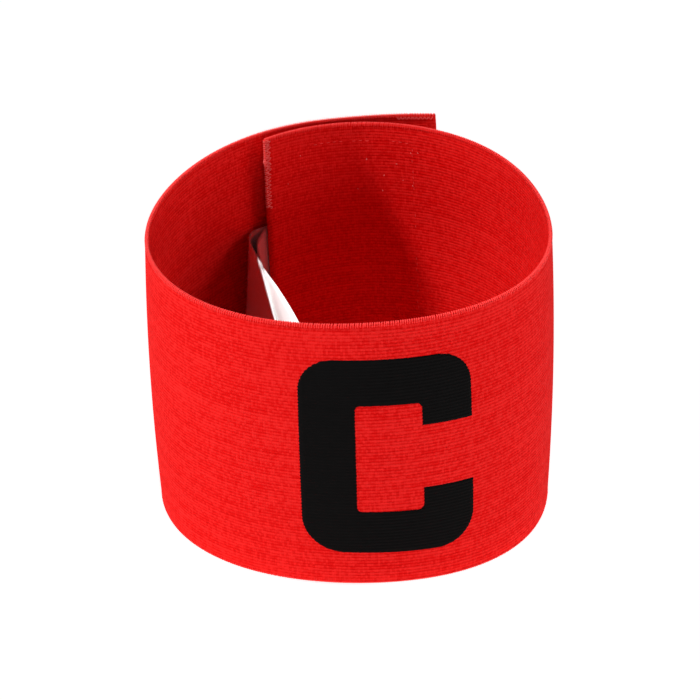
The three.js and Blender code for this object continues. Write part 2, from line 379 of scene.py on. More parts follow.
def loop_radius(angle, height):
    low = 1 - height / BAND_WIDTH
    share = 1.0
    for wave in LOOP_WAVES:
        top = np.cos(wave["bulges"] * (angle - math.radians(wave["top_crest"])))
        foot = np.cos(wave["bulges"] * (angle - math.radians(wave["foot_crest"])))
        share = share + (1 - low) * wave["top_depth"] * top + low * wave["foot_depth"] * foot
    return LOOP_RADIUS * share - BELLY * (2 * low - 1) ** 2


def loop_point(angle, height, offset):
    """Point beside the loop's wall, at an outward offset from the midst of the lap."""
    angle, height, offset = np.broadcast_arrays(angle, height, offset)
    radius = loop_radius(angle, height) + offset
    shift = LEAN * (1 - height / BAND_WIDTH)
    return np.stack([radius * np.sin(angle) + shift, -radius * np.cos(angle), height], axis=-1)


def strip_offset(angle, flare, flare_length):
    """Outward offset of the strip, which winds inward from its outer end to its inner end."""
    winding_start = OUTER_END + 2 * LAP_HALF_TURN
    winding_end = INNER_END - 2 * LAP_HALF_TURN
    wound = np.clip((angle - winding_start) / (winding_end - winding_start), 0, 1)
    flaring = np.maximum(0, 1 - (angle - OUTER_END) * LOOP_RADIUS / flare_length)
    curling = np.maximum(0, 1 - (INNER_END - angle) * LOOP_RADIUS / CURL_LENGTH)
    return LAP_SPACING * (0.5 - wound) + flare * flaring**2 - CURL * curling**2


def frame_shift():
    """From the source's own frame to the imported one, by the box of the plain wall."""
    columns = round(BAND_LENGTH / FACET_LENGTH)
    rows = round(BAND_WIDTH / ROW_HEIGHT)
    angle = np.linspace(OUTER_END, INNER_END, columns + 1)[:, None, None]
    height = np.linspace(0, BAND_WIDTH, rows + 1)[None, :, None]
    face = np.array([-0.5, 0.5])[None, None, :] * BAND_THICKNESS
    offset = strip_offset(angle, FLARE, FLARE_LENGTH) + face
    points = loop_point(angle, height, offset).reshape(-1, 3)
    own_centre = (points.min(axis=0) + points.max(axis=0)) / 2
    low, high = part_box("band")
    return np.array((low + high) / 2) - own_centre


SHIFT = frame_shift()


def strip_point(along, height, out):
    """Point at a length along the strip, a height on it and a way out of the cloth's middle."""
    angle = OUTER_END + np.asarray(along) / LOOP_RADIUS
    offset = strip_offset(angle, CLOTH_FLARE, CLOTH_FLARE_LENGTH) + CLOTH_OUT + out
    return loop_point(angle, height, offset) + SHIFT


def rib_profile(height):
    """0 in the grooves between the ribs and 1 on their crests."""
    return 0.5 - 0.5 * np.cos(2 * math.pi * np.asarray(height) / RIB_PITCH)


def make_piece(name, points, faces, material, uvs=None, smooth=True):
    mesh = bpy.data.meshes.new(name)
    mesh.from_pydata(np.asarray(points).reshape(-1, 3).tolist(), [], [list(face) for face in faces])
    mesh.update()
    if uvs is not None:
        layer = mesh.uv_layers.new(name="strip")
        corner = np.empty(len(mesh.loops), dtype=np.int32)
        mesh.loops.foreach_get("vertex_index", corner)
        layer.data.foreach_set("uv", np.asarray(uvs, dtype=np.float32)[corner].ravel())
    mesh.polygons.foreach_set("use_smooth", [smooth] * len(mesh.polygons))
    mesh.materials.append(material)
    piece = bpy.data.objects.new(name, mesh)
    bpy.context.scene.collection.objects.link(piece)
    return piece


def ring_faces(columns, ring):
    """Quads of a closed ring that is swept through columns + 1 places, with both ends closed."""
    faces = []
    for column in range(columns):
        here, there = column * ring, (column + 1) * ring
        for step in range(ring):
            after = (step + 1) % ring
            faces.append((here + step, there + step, there + after, here + after))
    last = columns * ring
    half = ring // 2
    for step in range(half - 1):
        mirror = ring - 1 - step
        faces.append((step, step + 1, mirror - 1, mirror))
        faces.append((last + step + 1, last + step, last + mirror, last + mirror - 1))
    return faces


def band_profile():
    """Cross-section of the strip, from the foot up its outer face and down its inner face."""
    rows = RIB_COUNT * ROWS_PER_RIB
    half = CLOTH_THICKNESS / 2
    height = np.linspace(0, BAND_WIDTH, rows + 1)[RIM_ROWS:-RIM_ROWS]
    below_edge = np.minimum(height, BAND_WIDTH - height)
    groove = np.exp(-(((below_edge - GROOVE_BELOW_EDGE) / GROOVE_SPREAD) ** 2))
    out = half - RIB_RELIEF * (1 - rib_profile(height)) - GROOVE_DEPTH * groove
    turn = (np.arange(RIM_STEPS) + 0.5) / RIM_STEPS * math.pi
    reach = height[0] - CLOTH_INSET
    rim_height = BAND_WIDTH - CLOTH_INSET - reach + reach * np.sin(turn)
    rim_out = (half - RIB_RELIEF) * np.cos(turn)
    ring_height = np.concatenate([height, rim_height, height[::-1], BAND_WIDTH - rim_height])
    ring_out = np.concatenate([out, rim_out, -out[::-1], -rim_out])
    first = RIM_STEPS // 2
    return np.roll(ring_height, first), np.roll(ring_out, first)


def make_band(material):
    height, out = band_profile()
    along = np.linspace(0, BAND_LENGTH, BAND_COLUMNS + 1)
    points = strip_point(along[:, None], height[None, :], out[None, :])
    uvs = np.stack(np.broadcast_arrays(along[:, None], height[None, :]), axis=-1).reshape(-1, 2)
    return make_piece("band_cloth", points, ring_faces(BAND_COLUMNS, len(height)), material, uvs)


def unit(vectors):
    return vectors / np.maximum(np.linalg.norm(vectors, axis=-1, keepdims=True), SHORTEST_LENGTH)


def thread_tubes(paths, across, radius):
    """Tubes along many paths of equally many points. Across is a direction beside each path, and
    the radius is one number or one for each point of a path."""
    count, steps, _ = paths.shape
    sides = THREAD_SIDES
    onward = unit(np.gradient(paths, axis=1))
    side = unit(across - np.sum(across * onward, axis=-1, keepdims=True) * onward)
    up = np.cross(onward, side)
    turn = np.arange(sides) / sides * 2 * math.pi
    size = np.full(steps, radius) if np.ndim(radius) == 0 else np.array(radius)
    size[[0, -1]] *= THREAD_TIP
    ring = side[:, :, None] * np.cos(turn)[:, None] + up[:, :, None] * np.sin(turn)[:, None]
    points = (paths[:, :, None] + size[None, :, None, None] * ring).reshape(-1, 3)
    faces = []
    for tube in range(count):
        base = tube * steps * sides
        for step in range(steps - 1):
            here = base + step * sides
            for k in range(sides):
                after = (k + 1) % sides
                faces.append((here + k, here + after, here + after + sides, here + k + sides))
        faces.append(tuple(base + k for k in reversed(range(sides))))
        faces.append(tuple(base + (steps - 1) * sides + k for k in range(sides)))
    return points, faces


def strip_tubes(along, height, out, radius):
    """Tubes on the strip. The arrays are of (thread, step), or of the steps of one thread."""
    along, height, out = np.broadcast_arrays(*np.atleast_2d(along, height, out))
    paths = strip_point(along, height, out)
    beside = strip_point(along + ASIDE_ALONG, height + ASIDE_UP, out) - paths
    return thread_tubes(paths, beside, radius)


def joined(parts):
    """Points and faces of several meshes as one."""
    points, faces, first = [], [], 0
    for part_points, part_faces in parts:
        points.append(part_points)
        faces.extend(tuple(first + index for index in face) for face in part_faces)
        first += len(part_points)
    return np.concatenate(points), faces


def make_edge_loops(name, foot, material):
    """Weft threads that turn round one edge of the strip."""
    count = round(BAND_LENGTH / TICK_PITCH)
    half = CLOTH_THICKNESS / 2
    along = (np.arange(count) + 0.5) * BAND_LENGTH / count
    along = along + random.normal(0, TICK_PITCH * LOOP_SCATTER, count)
    reach = random.normal(0, LOOP_REACH_SCATTER, (count, 2))
    rim = half - RIM_THREAD * RIM_THREAD_SUNK
    edge = RIM_THREAD if foot else 0.0
    below = np.concatenate([[LOOP_OUTER_REACH, 0.5 * (LOOP_OUTER_REACH + half)],
                            edge + rim - rim * np.sin(ROUND_EDGE),
                            [0.5 * (LOOP_INNER_REACH + half), LOOP_INNER_REACH]])
    proud = half + FACE_THREAD * FACE_THREAD_PROUD
    sunk = half - FACE_THREAD * FACE_THREAD_SUNK
    out = np.concatenate([[sunk, proud], rim * np.cos(ROUND_EDGE), [-proud, -sunk]])
    swell = np.sin(ROUND_EDGE) ** 0.5
    radius = np.concatenate([[FACE_THREAD, FACE_THREAD],
                             FACE_THREAD + (RIM_THREAD - FACE_THREAD) * swell,
                             [FACE_THREAD, FACE_THREAD]])
    below = np.repeat(below[None, :], count, axis=0)
    below[:, 0] += reach[:, 0]
    below[:, -1] += reach[:, 1]
    lean = np.linspace(-0.5, 0.5, below.shape[1]) * TICK_PITCH * LOOP_LEAN
    height = below if foot else BAND_WIDTH - below
    points, faces = strip_tubes(along[:, None] + lean, height, out[None, :], radius)
    return make_piece(name, points, faces, material)


def zigzag(first, last, stitch, side_a, side_b, bow):
    """Points that swing between two sides, as (onward, across), with a bowed crossing each way."""
    count = round(abs(last - first) / stitch)
    share = np.arange(count * ZIGZAG_STEPS + 1) / ZIGZAG_STEPS
    swing = share % 2
    swing = np.where(swing > 1, 2 - swing, swing)
    swing = swing * (1 - bow) + bow * (0.5 - 0.5 * np.cos(swing * math.pi))
    onward = first + (last - first) * share / count
    return onward, side_a + (side_b - side_a) * swing


def sewn_faces():
    """Where the sewing lies on the inner and the outer face, out of the cloth's middle."""
    face = CLOTH_THICKNESS / 2 + SEWING_THREAD * SEWING_STANDS_OUT
    return -face, face


def overlocking():
    """Threads that close the strip's inner end near its top."""
    inner_face, outer_face = sewn_faces()
    top = BAND_WIDTH - OVERLOCK_BELOW_TOP
    parts = []
    for number, row in enumerate(OVERLOCK_ZIGZAGS):
        height, along = zigzag(top, BAND_WIDTH - row["length"], row["stitch"],
                               BAND_LENGTH - row["edge"], BAND_LENGTH - row["width"], row["bow"])
        height = height + random.normal(0, row["scatter"], len(height))
        parts.append(strip_tubes(along, height, inner_face - number * SEWING_THREAD, SEWING_THREAD))

    turns = round(OVERLOCK_LENGTH / OVERLOCK_STITCH)
    rows = top - (np.arange(turns) + 0.5) * OVERLOCK_STITCH
    rows = rows + random.normal(0, OVERLOCK_TURN_SCATTER, turns)
    slack = SEWING_THREAD + OVERLOCK_TURN_SLACK
    past = BAND_LENGTH - OVERLOCK_TURN_EDGE + slack * np.sin(ROUND_EDGE)
    along = np.concatenate([[BAND_LENGTH - OVERLOCK_TURN_START], past,
                            [BAND_LENGTH - OVERLOCK_TURN_END]])
    lift = SEWING_THREAD * OVERLOCK_TURN_LIFT
    around = -(CLOTH_THICKNESS / 2 + lift) * np.cos(ROUND_EDGE)
    out = np.concatenate([[inner_face], around, [outer_face]])
    tilt = np.linspace(OVERLOCK_TURN_TILT, -OVERLOCK_TURN_TILT, len(along)) * OVERLOCK_STITCH
    parts.append(strip_tubes(along, rows[:, None] + tilt, out, SEWING_THREAD))
    return parts


def knot_and_tail():
    """Knot at the edge of the inner end, its loose tail and the stop of the overlocking."""
    inner_face, _ = sewn_faces()
    knot_height = BAND_WIDTH - KNOT_BELOW_TOP
    turn = np.linspace(0, KNOT_TURNS * 2 * math.pi, KNOT_POINTS)
    along = BAND_LENGTH + KNOT_PAST_END + KNOT_WIDTH * np.cos(turn)
    rise = knot_height + KNOT_HEIGHT * np.sin(turn) + KNOT_RISE * turn / turn[-1]
    out = inner_face - KNOT_CLEARANCE - KNOT_DEPTH * np.sin(turn * 0.5)
    knot = strip_tubes(along, rise, out, KNOT_THREAD)
    share = np.linspace(0, 1, TAIL_POINTS)
    along = BAND_LENGTH - OVERLOCK_TURN_EDGE - TAIL_LENGTH * share
    rise = knot_height - TAIL_START - TAIL_FALL * share + TAIL_BOW * np.sin(share * math.pi)
    tail = strip_tubes(along, rise, inner_face - TAIL_CLEARANCE, SEWING_THREAD)
    turn = np.linspace(0, 2 * math.pi, STOP_POINTS)
    along = BAND_LENGTH - STOP_FROM_END + STOP_WIDTH * np.cos(turn)
    rise = BAND_WIDTH - OVERLOCK_LENGTH - KNOT_CLEARANCE + STOP_HEIGHT * np.sin(turn)
    stop = strip_tubes(along, rise, inner_face - KNOT_CLEARANCE, STOP_THREAD)
    return [knot, tail, stop]


def hem_of_outer_end():
    """Zigzag and rows of short stitches that hold the hem of the strip's outer end."""
    inner_face, outer_face = sewn_faces()
    along, below = zigzag(HEM_START, HEM_LENGTH, HEM_STITCH, HEM_TOP, HEM_FOOT, HEM_BOW)
    parts = [strip_tubes(along, BAND_WIDTH - below, inner_face, SEWING_THREAD)]
    start = np.arange(HEM_ROW_START, HEM_LENGTH, HEM_ROW_PITCH)[:, None]
    run = np.linspace(0, HEM_ROW_STITCH, HEM_ROW_POINTS)
    bow = HEM_ROW_BOW * np.sin(np.linspace(0, math.pi, HEM_ROW_POINTS))
    rows = [(inner_face, HEM_ROW_BELOW_TOP), (outer_face, HEM_ROW_BELOW_TOP),
            (outer_face, HEM_UPPER_ROW_BELOW_TOP)]
    for side, depth in rows:
        parts.append(strip_tubes(start + run, BAND_WIDTH - depth + bow, side, HEM_ROW_THREAD))
    return parts


def make_end_seams(material):
    points, faces = joined(overlocking() + knot_and_tail() + hem_of_outer_end())
    return make_piece("end_seams", points, faces, material)


def dashes(first, last, stitch, gap):
    """Starts and ends of even stitches along a seam."""
    count = round(abs(last - first) / stitch)
    start = first + (last - first) * np.arange(count) / count
    end = start + (last - first) / count * (1 - gap / stitch)
    return start, end


def make_patch_seams(material):
    """Worn lock stitches that hold the fastener. They show on the inner face of the inner layer
    and on the outer face of the outer layer, and some have sunk into the cloth."""
    half = CLOTH_THICKNESS / 2
    steps = np.linspace(0, 1, PATCH_STITCH_POINTS)[None, :]
    hump = SEWING_THREAD * (PATCH_STITCH_HUMP * np.sin(steps * math.pi) - PATCH_STITCH_SUNK)
    top = BAND_WIDTH - PATCH_SEAM_TOP
    foot = PATCH_SEAM_TOP
    inner = (BAND_LENGTH - PATCH_SEAM_FIRST, BAND_LENGTH - PATCH_SEAM_LAST)
    outer = (LAP_LENGTH - PATCH_SEAM_FIRST, LAP_LENGTH - PATCH_SEAM_LAST)
    parts = []

    def run(start, end, across, out, upright):
        shows = random.uniform(0, 1, len(start)) < PATCH_STITCH_SHARE
        start, end = start[shows, None], end[shows, None]
        onward = start + (end - start) * steps
        wander = across + random.normal(0, PATCH_STITCH_SCATTER, start.shape) + 0 * onward
        along, height = (wander, onward) if upright else (onward, wander)
        parts.append(strip_tubes(along, height, out, PATCH_THREAD))

    for (near, far), side in ((inner, -1), (outer, 1)):
        out = side * (half + hump)
        for level in (top, foot):
            run(*dashes(near, far, PATCH_STITCH, PATCH_STITCH_GAP), level, out, False)
        run(*dashes(top, foot, PATCH_STITCH, PATCH_STITCH_GAP), far, out, True)
    points, faces = joined(parts)
    return make_piece("patch_seams", points, faces, material)


def make_flecks(material):
    """Short loose fibre ends on the inner face of the inner layer."""
    half = CLOTH_THICKNESS / 2
    along = BAND_LENGTH - random.uniform(*FLECK_FROM_END, FLECK_COUNT)
    height = BAND_WIDTH - random.uniform(*FLECK_BELOW_EDGE, FLECK_COUNT)
    aim = random.uniform(0, math.pi, FLECK_COUNT)
    length = random.uniform(*FLECK_LENGTH, FLECK_COUNT)
    steps = np.linspace(-0.5, 0.5, FLECK_POINTS)[None, :]
    run = along[:, None] + (np.cos(aim) * length)[:, None] * steps
    rise = height[:, None] + (np.sin(aim) * length)[:, None] * steps
    out = -half - FLECK_CLEARANCE - FLECK_BOW * (0.5 - np.abs(steps))
    points, faces = strip_tubes(run, rise, out, FLECK_THREAD)
    return make_piece("fibre_flecks", points, faces, material)


def letter_outline():
    """Outline of the block C, flat, about its own centre."""
    right = LETTER_WIDTH / 2
    top = LETTER_HEIGHT / 2
    stem_right = LETTER_STEM - right
    terminal_left = right - LETTER_TERMINAL_WIDTH
    counter_top = top - LETTER_TOP_BAR
    counter_foot = LETTER_FOOT_BAR - top
    upper_end = top - LETTER_TOP_TERMINAL
    lower_end = LETTER_FOOT_TERMINAL - top
    tight, soft = LETTER_STEM_RADIUS, LETTER_TERMINAL_RADIUS
    points = [(right, upper_end)]

    def corner(side_x, side_y, radius, start, turn):
        """Quarter turn between two sides, whose start and turn are given in quarter turns."""
        first, last = start * math.pi / 2, (start + turn) * math.pi / 2
        x = side_x - radius * (math.cos(first) + math.cos(last))
        y = side_y - radius * (math.sin(first) + math.sin(last))
        steps = max(PRINT_CORNER_STEPS, round(radius * math.pi / 2 / PRINT_CORNER_STEP))
        for step in range(steps + 1):
            at = first + (last - first) * step / steps
            points.append((x + radius * math.cos(at), y + radius * math.sin(at)))

    corner(right, top, LETTER_TOP_RIGHT_RADIUS, 0, 1)
    corner(-right, top, LETTER_TOP_LEFT_RADIUS, 1, 1)
    corner(-right, -top, LETTER_FOOT_LEFT_RADIUS, 2, 1)
    corner(right, -top, LETTER_FOOT_RIGHT_RADIUS, 3, 1)
    points.append((right, lower_end))
    points.append((terminal_left, lower_end))
    corner(terminal_left, counter_foot, soft, 0, -1)
    corner(stem_right, counter_foot, tight, 3, -1)
    corner(stem_right, counter_top, tight, 2, -1)
    corner(terminal_left, counter_top, soft, 1, -1)
    points.append((terminal_left, upper_end))
    return np.array(points)


def dense(outline, spacing):
    """The closed outline with a point about every spacing."""
    points = []
    for here, there in zip(outline, np.roll(outline, -1, axis=0)):
        steps = max(1, round(np.linalg.norm(there - here) / spacing))
        points.extend(here + (there - here) * step / steps for step in range(steps))
    return np.array(points)


def make_print(material):
    """Thin ink layer that follows the ribs, with an edge that creeps along the crests."""
    centre_along = LETTER_CENTRE_ALONG - OUTER_END * LOOP_RADIUS
    centre_height = BAND_WIDTH / 2 - LETTER_BELOW_MIDDLE
    outline = dense(letter_outline(), RIB_PITCH / 4)
    tangent = unit(np.roll(outline, -1, axis=0) - np.roll(outline, 1, axis=0))
    outward = np.stack([tangent[:, 1], -tangent[:, 0]], axis=-1)
    creep = PRINT_JAG * (2 * rib_profile(outline[:, 1] + centre_height) - 1)
    creep = creep + random.normal(0, PRINT_JAG * PRINT_JAG_SCATTER, len(outline))
    outline = outline + outward * creep[:, None]
    row = RIB_PITCH / ROWS_PER_RIB
    first_row = math.ceil((centre_height - LETTER_WIDTH) / row)
    rows = np.arange(first_row, BAND_WIDTH / row) * row - centre_height
    columns = np.arange(-LETTER_WIDTH / 2, LETTER_WIDTH / 2 + PRINT_COLUMN, PRINT_COLUMN)
    x, y = (values.ravel() for values in np.meshgrid(columns, rows))
    near = np.min(
        [np.hypot(x[:, None] - part[:, 0], y[:, None] - part[:, 1]).min(axis=1)
         for part in np.array_split(outline, PRINT_OUTLINE_PARTS)], axis=0)
    keep = near > row * PRINT_EDGE_CLEARANCE
    grid = np.stack([x[keep], y[keep]], axis=-1)
    count = len(outline)
    edges = [(k, (k + 1) % count) for k in range(count)]
    loose = [Vector(point) for point in np.concatenate([outline, grid])]
    whole = [list(range(count))]
    flat, _, triangles, *_ = delaunay_2d_cdt(loose, edges, whole, INSIDE_ONLY, PRINT_WELD)
    flat = np.array([tuple(point) for point in flat])
    used = sorted({index for triangle in triangles for index in triangle})
    place = {index: number for number, index in enumerate(used)}
    triangles = [tuple(place[index] for index in triangle) for triangle in triangles]
    flat = flat[used]
    along = centre_along + flat[:, 0] + LETTER_SLANT * flat[:, 1]
    height = centre_height + flat[:, 1] - LETTER_TILT * flat[:, 0]
    cloth = CLOTH_THICKNESS / 2 - RIB_RELIEF * (1 - rib_profile(height)) * PRINT_FOLLOWS_RIBS
    front = strip_point(along, height, cloth + PRINT_THICKNESS)
    back = strip_point(along, height, cloth - 2 * PRINT_THICKNESS - RIB_RELIEF)
    size = len(flat)
    faces = list(triangles)
    faces.extend(tuple(size + index for index in reversed(triangle)) for triangle in triangles)
    sides = dict.fromkeys(side for triangle in triangles
                          for side in zip(triangle, triangle[1:] + triangle[:1]))
    faces.extend((b, a, size + a, size + b) for a, b in sides if (b, a) not in sides)
    uvs = np.tile(np.stack([along, height], axis=-1), (2, 1))
    return make_piece("print_c", np.concatenate([front, back]), faces, material, uvs)


def catmull_rom(points, count):
    """Centripetal spline through the points, in count + 1 places of equal spacing."""
    points = np.concatenate([[2 * points[0] - points[1]], points, [2 * points[-1] - points[-2]]])
    apart = np.linalg.norm(np.diff(points, axis=0), axis=1)
    knots = np.concatenate([[0], np.cumsum(np.sqrt(apart))])
    line = []
    for k in range(1, len(points) - 2):
        t = np.linspace(knots[k], knots[k + 1], SPLINE_STEPS + 1)[:-1, None]
        t0, t1, t2, t3 = knots[k - 1:k + 3]
        p0, p1, p2, p3 = points[k - 1:k + 3]
        a1 = (t1 - t) / (t1 - t0) * p0 + (t - t0) / (t1 - t0) * p1
        a2 = (t2 - t) / (t2 - t1) * p1 + (t - t1) / (t2 - t1) * p2
        a3 = (t3 - t) / (t3 - t2) * p2 + (t - t2) / (t3 - t2) * p3
        b1 = (t2 - t) / (t2 - t0) * a1 + (t - t0) / (t2 - t0) * a2
        b2 = (t3 - t) / (t3 - t1) * a2 + (t - t1) / (t3 - t1) * a3
        line.extend((t2 - t) / (t2 - t1) * b1 + (t - t1) / (t2 - t1) * b2)
    line = np.array(line + [points[-2]])
    length = np.concatenate([[0], np.cumsum(np.linalg.norm(np.diff(line, axis=0), axis=1))])
    even = np.linspace(0, length[-1], count + 1)
    return np.stack([np.interp(even, length, line[:, axis]) for axis in range(3)], axis=-1)


def ply_gap(step, below):
    """How far the inner ply leans over towards the outer one, a step of it, at one depth."""
    if not LABEL_LEAN_FIRST < step["inward"] < LABEL_LEAN_LAST:
        return 0.0
    inward = [row["inward"] for row in OUTER_PLY]
    outer = {key: np.interp(step["inward"], inward, [row[key] for row in OUTER_PLY])
             for key in ("along", "slant")}
    gap = (outer["along"] - step["along"]) * LABEL_LENGTH + (outer["slant"] - step["slant"]) * below
    return max(0.0, gap - LABEL_PLY_CLEARANCE)


def leaning(below, reach):
    """Sideways and downward way of a ply that leans over as far as reach and then hangs."""
    lean = math.radians(LABEL_LEAN_ANGLE)
    free = below * math.cos(lean)
    soft = LABEL_LEAN_ROUNDING
    sideways = 0.5 * (free + reach - math.hypot(free - reach, soft)) if reach > 0 else 0.0
    sideways = max(0.0, sideways)
    leant = sideways / math.cos(lean)
    return sideways, leant * math.sin(lean) + below - leant


def label_line(below):
    """Course of the folded ribbon at one depth below its top edge: out, round the fold and back."""
    onward = np.array([math.cos(INNER_END), math.sin(INNER_END), 0.0])
    inward = np.array([-math.sin(INNER_END), math.cos(INNER_END), 0.0])
    height = BAND_WIDTH - LABEL_TOP_BELOW_EDGE - below
    seat_out = BAND_THICKNESS / 2 + FIT_GAP + LABEL_THICKNESS / 2 - CLOTH_OUT

    def seat(back_along, side):
        return strip_point(BAND_LENGTH - back_along, height, seat_out + side * RIBBON_THICKNESS)

    def route(step, reach=0.0):
        sideways, down = leaning(below, reach)
        ahead = step["along"] * LABEL_LENGTH + step["slant"] * below + sideways
        point = seat(0, 0) + onward * ahead + inward * step["inward"] * LABEL_LENGTH
        point[2] = height + below - down - step["drop"] * LABEL_WIDTH + SHIFT[2]
        return point

    points = [seat(LABEL_SEAT_LENGTH, 1), seat(0, 1)]
    points += [route(step) for step in OUTER_PLY]
    points += [route(LABEL_FOLD)]
    points += [route(step, ply_gap(step, below)) for step in reversed(INNER_PLY)]
    points += [seat(0, -1), seat(LABEL_SEAT_LENGTH, -1)]
    return catmull_rom(np.array(points), RIBBON_COLUMNS)


def make_label(material):
    below = np.linspace(LABEL_WIDTH, 0, RIBBON_ROWS + 1)
    lines = np.stack([label_line(depth) for depth in below], axis=1)
    onward = unit(np.gradient(lines, axis=0))
    up = unit(np.gradient(lines, axis=1))
    out = unit(np.cross(onward, up)) * RIBBON_THICKNESS / 2
    ring = np.concatenate([lines + out, (lines - out)[:, ::-1]], axis=1)
    along = np.linspace(0, 2 * LABEL_LENGTH, RIBBON_COLUMNS + 1)[:, None]
    across = np.concatenate([LABEL_WIDTH - below, (LABEL_WIDTH - below)[::-1]])[None, :]
    uvs = np.stack(np.broadcast_arrays(along, across), axis=-1).reshape(-1, 2)
    faces = ring_faces(RIBBON_COLUMNS, ring.shape[1])
    return make_piece("label_ribbon", ring, faces, material, uvs)


def make_fastener(material):
    """Pile patch between the two layers of the lap."""
    first = BAND_LENGTH - LAP_LENGTH + FASTENER_TO_OUTER_END
    last = BAND_LENGTH - LABEL_SEAT_LENGTH - FASTENER_TO_LABEL
    along = np.linspace(first, last, PILE_COLUMNS + 1)
    height = np.linspace(FASTENER_MARGIN, BAND_WIDTH - FASTENER_MARGIN, PILE_ROWS + 1)
    base = CLOTH_THICKNESS / 2 + PILE_BASE_CLEARANCE
    top = LAP_SPACING - CLOTH_THICKNESS / 2 - PILE_TOP_CLEARANCE
    pile = top - random.uniform(0, PILE_SCATTER, (PILE_COLUMNS + 1, PILE_ROWS + 1))
    outer = strip_point(along[:, None], height[None, :], pile)
    inner = strip_point(along[:, None], height[None, ::-1], base)
    ring = np.concatenate([outer, inner], axis=1)
    return make_piece("fastener_patch", ring, ring_faces(PILE_COLUMNS, ring.shape[1]), material)


def node_tree(name):
    material = bpy.data.materials.new(name)
    material.use_nodes = True
    tree = material.node_tree
    return material, tree, tree.nodes["Principled BSDF"]


class Graph:
    """Short calls for the nodes of one material."""

    def __init__(self, tree):
        self.tree = tree

    def node(self, kind, **settings):
        made = self.tree.nodes.new(kind)
        for key, value in settings.items():
            setattr(made, key, value)
        return made

    def link(self, source, target):
        self.tree.links.new(source, target)

    def feed(self, socket, value):
        if isinstance(value, bpy.types.NodeSocket):
            self.link(value, socket)
        else:
            socket.default_value = value

    def math(self, operation, a, b=0.0, c=0.0):
        made = self.node("ShaderNodeMath", operation=operation)
        for socket, value in zip(made.inputs, (a, b, c)):
            self.feed(socket, value)
        return made.outputs[0]

    def vector(self, x, y):
        made = self.node("ShaderNodeCombineXYZ")
        for socket, value in zip(made.inputs, (x, y)):
            self.feed(socket, value)
        return made.outputs[0]

    def noise(self, vector, scale, detail):
        made = self.node("ShaderNodeTexNoise")
        self.link(vector, made.inputs["Vector"])
        made.inputs["Scale"].default_value = scale
        made.inputs["Detail"].default_value = detail
        return made.outputs["Fac"]

    def cell(self, vector):
        made = self.node("ShaderNodeTexWhiteNoise", noise_dimensions="3D")
        self.link(vector, made.inputs["Vector"])
        return made.outputs["Value"]

    def mix(self, share, a, b):
        made = self.node("ShaderNodeMix", data_type="RGBA")
        self.feed(made.inputs["Factor"], share)
        colours = [socket for socket in made.inputs if socket.type == "RGBA"]
        self.feed(colours[0], a)
        self.feed(colours[1], b)
        return [socket for socket in made.outputs if socket.type == "RGBA"][0]

    def strip(self):
        """Metres along the strip and up it."""
        made = self.node("ShaderNodeUVMap", uv_map="strip")
        split = self.node("ShaderNodeSeparateXYZ")
        self.link(made.outputs[0], split.inputs[0])
        return split.outputs[0], split.outputs[1]

    def wave(self, value, pitch):
        """Cosine between 0 and 1 with its crest in the middle of each pitch."""
        turned = self.math("MULTIPLY", value, 2 * math.pi / pitch)
        return self.math("MULTIPLY_ADD", self.math("COSINE", turned), -0.5, 0.5)

    def weighted(self, patterns, shares, start=0.0):
        """Sum of the patterns that are named, each by its share, on top of a start."""
        total = start
        for name, share in shares.items():
            total = self.math("MULTIPLY_ADD", patterns[name], share, total)
        return total

    def bump(self, height, distance):
        made = self.node("ShaderNodeBump")
        made.inputs["Strength"].default_value = 1.0
        made.inputs["Distance"].default_value = distance
        self.link(height, made.inputs["Height"])
        return made.outputs[0]


def elastic_material():
    """Red knitted elastic: ribs along the strip, crossed by fine weft ticks, with painted shade in
    their grooves and painted highlight on their crests.
    """
    material, tree, shader = node_tree("elastic_red")
    graph = Graph(tree)
    along, up = graph.strip()
    place = graph.vector(along, up)
    wander = graph.noise(place, scale=90, detail=2)
    along_wander = graph.math("MULTIPLY_ADD", wander, TICK_PITCH * WANDER_ALONG, along)
    up_wander = graph.math("MULTIPLY_ADD", wander, RIB_PITCH * WANDER_UP, up)
    ribs = graph.wave(up, RIB_PITCH)
    ticks = graph.wave(along_wander, TICK_PITCH)
    column = graph.math("FLOOR", graph.math("DIVIDE", along_wander, TICK_PITCH))
    row = graph.math("FLOOR", graph.math("DIVIDE", up_wander, RIB_PITCH))
    drawn_out = graph.vector(graph.math("MULTIPLY", along, STREAK_DRAW), up)
    patterns = {
        "ribs": ribs,
        "ticks": ticks,
        "crossings": graph.math("MULTIPLY", ticks, ribs),
        "stitch": graph.cell(graph.vector(column, row)),
        "course": graph.cell(graph.vector(row, COURSE_DRAW)),
        "stretched": graph.noise(drawn_out, scale=900, detail=3),
        "cloud": graph.noise(place, scale=55, detail=3),
        "grain": graph.noise(place, scale=2600, detail=2),
    }
    ramp = graph.node("ShaderNodeValToRGB")
    # The ribs and the ticks paint shade in the grooves and highlight on the crests
    graph.link(graph.weighted(patterns, ELASTIC_TONE_AND_PAINTED_SHADE, ELASTIC_TONE_START), ramp.inputs[0])
    dark, bright = ramp.color_ramp.elements
    dark.position, dark.color = ELASTIC_DARK["tone"], ELASTIC_DARK["colour"]
    bright.position, bright.color = ELASTIC_BRIGHT["tone"], ELASTIC_BRIGHT["colour"]
    ramp.color_ramp.elements.new(ELASTIC_MIDDLE["tone"]).color = ELASTIC_MIDDLE["colour"]
    graph.link(ramp.outputs[0], shader.inputs["Base Color"])
    relief = graph.weighted(patterns, ELASTIC_RELIEF)
    graph.link(graph.bump(relief, distance=0.00009), shader.inputs["Normal"])
    shader.inputs["Roughness"].default_value = 0.95
    shader.inputs["Specular IOR Level"].default_value = 0.08
    return material


